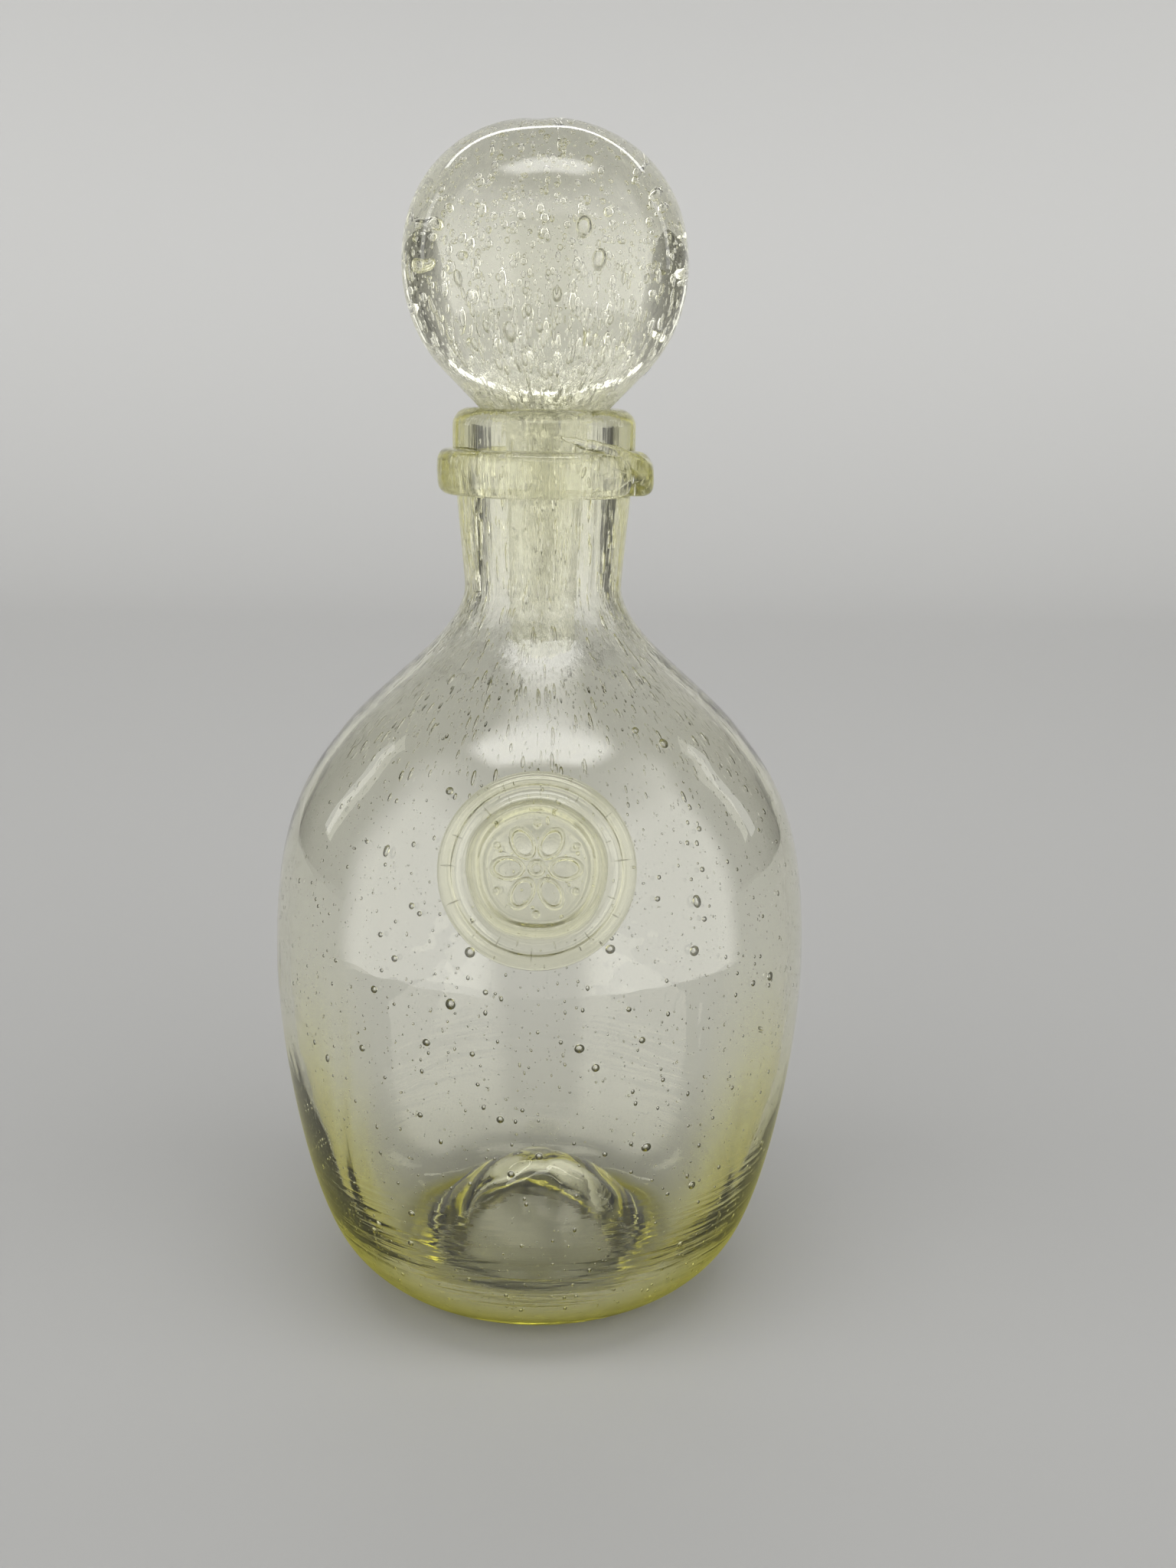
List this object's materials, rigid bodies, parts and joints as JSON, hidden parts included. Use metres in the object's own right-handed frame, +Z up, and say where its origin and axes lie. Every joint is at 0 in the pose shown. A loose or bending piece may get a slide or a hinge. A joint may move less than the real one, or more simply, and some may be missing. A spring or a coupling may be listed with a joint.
{
  "type": "stoppered glass carafe",
  "caption": "Free-blown bubble-glass carafe with an egg-shaped body, a kicked-up base, a wound neck ring, a round seal on the shoulder and a lift-out ball stopper.",
  "frame": {"origin": "centre of the foot on the surface it stands on, on the axis of the body", "axes": "+Z up along the axis of the body and stopper, -Y towards the seal at the front, +X to the right as seen from the front"},
  "size_m": [0.1256, 0.1269, 0.2701],
  "materials": {
    "bottle_glass": "smooth free-blown glass with a pale yellow-green tint and seed bubbles",
    "ring_glass": "smooth trailed glass, yellow-green where it is thick, with fine drawn-out bubbles",
    "seal_glass": "smooth stamped glass with a pale yellow-green tint",
    "stopper_glass": "smooth solid glass, nearly colourless, full of seed bubbles"
  },
  "bodies": {
    "bottle": {"bottle": "bottle_glass", "neck_ring": "ring_glass", "seal": "seal_glass"},
    "stopper": {"stopper": "stopper_glass"}
  },
  "joints": [
    {"name": "stopper_lift", "type": "slide", "parent": "bottle", "child": "stopper", "axis": [0, 0, 1], "range_m": [0, 0.075]}
  ]
}
